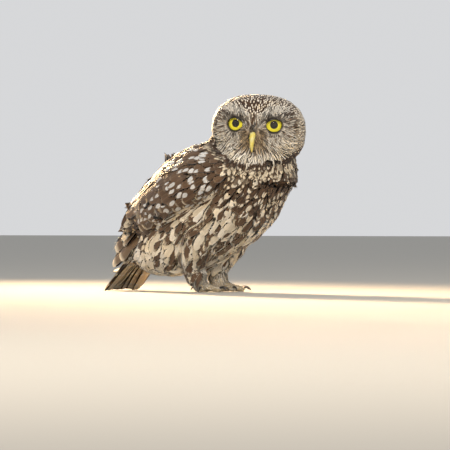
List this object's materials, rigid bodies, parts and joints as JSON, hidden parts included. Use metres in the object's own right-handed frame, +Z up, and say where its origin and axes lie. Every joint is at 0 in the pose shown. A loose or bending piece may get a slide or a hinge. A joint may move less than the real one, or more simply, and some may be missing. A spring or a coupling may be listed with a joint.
{
  "type": "little owl",
  "caption": "Life-size still model of a little owl standing low on the floor, body leaning forward, head turned over its right side, wings folded.",
  "frame": {"origin": "middle of the bottom of the bird's box, on the floor", "axes": "+Z up; the breast faces -Y and the tail points to +Y; +X is the bird's left"},
  "size_m": [0.0988, 0.1884, 0.1576],
  "materials": {
    "face_and_crown_feathers": "soft matte feathers, brown with cream spots and a pale face",
    "body_feathers": "soft matte feathers, cream streaked with dark brown",
    "wing_feathers": "smooth matte feathers, brown with white oval spots",
    "tail_feathers": "smooth matte feathers, brown with pale bars and edges",
    "leg_feathers": "short soft white feathers",
    "eye": "wet clear cornea over a yellow iris",
    "bill_horn": "satin yellow-green horn",
    "claw_horn": "satin dark horn"
  },
  "bodies": {
    "root": {"head": "face_and_crown_feathers", "eye_right": "eye", "eye_left": "eye", "bill_upper": "bill_horn", "bill_lower": "bill_horn", "neck": "face_and_crown_feathers", "trunk": "body_feathers", "wing_right": "wing_feathers", "wing_left": "wing_feathers", "tail_coverts": "tail_feathers", "tail": "tail_feathers", "thigh_right": "leg_feathers", "thigh_left": "leg_feathers", "shank_right": "leg_feathers", "shank_left": "leg_feathers", "foot_right": "leg_feathers", "foot_left": "leg_feathers", "claw_right_inner": "claw_horn", "claw_right_middle": "claw_horn", "claw_right_outer": "claw_horn", "claw_right_hind": "claw_horn", "claw_left_inner": "claw_horn", "claw_left_middle": "claw_horn", "claw_left_outer": "claw_horn", "claw_left_hind": "claw_horn"}
  },
  "joints": []
}
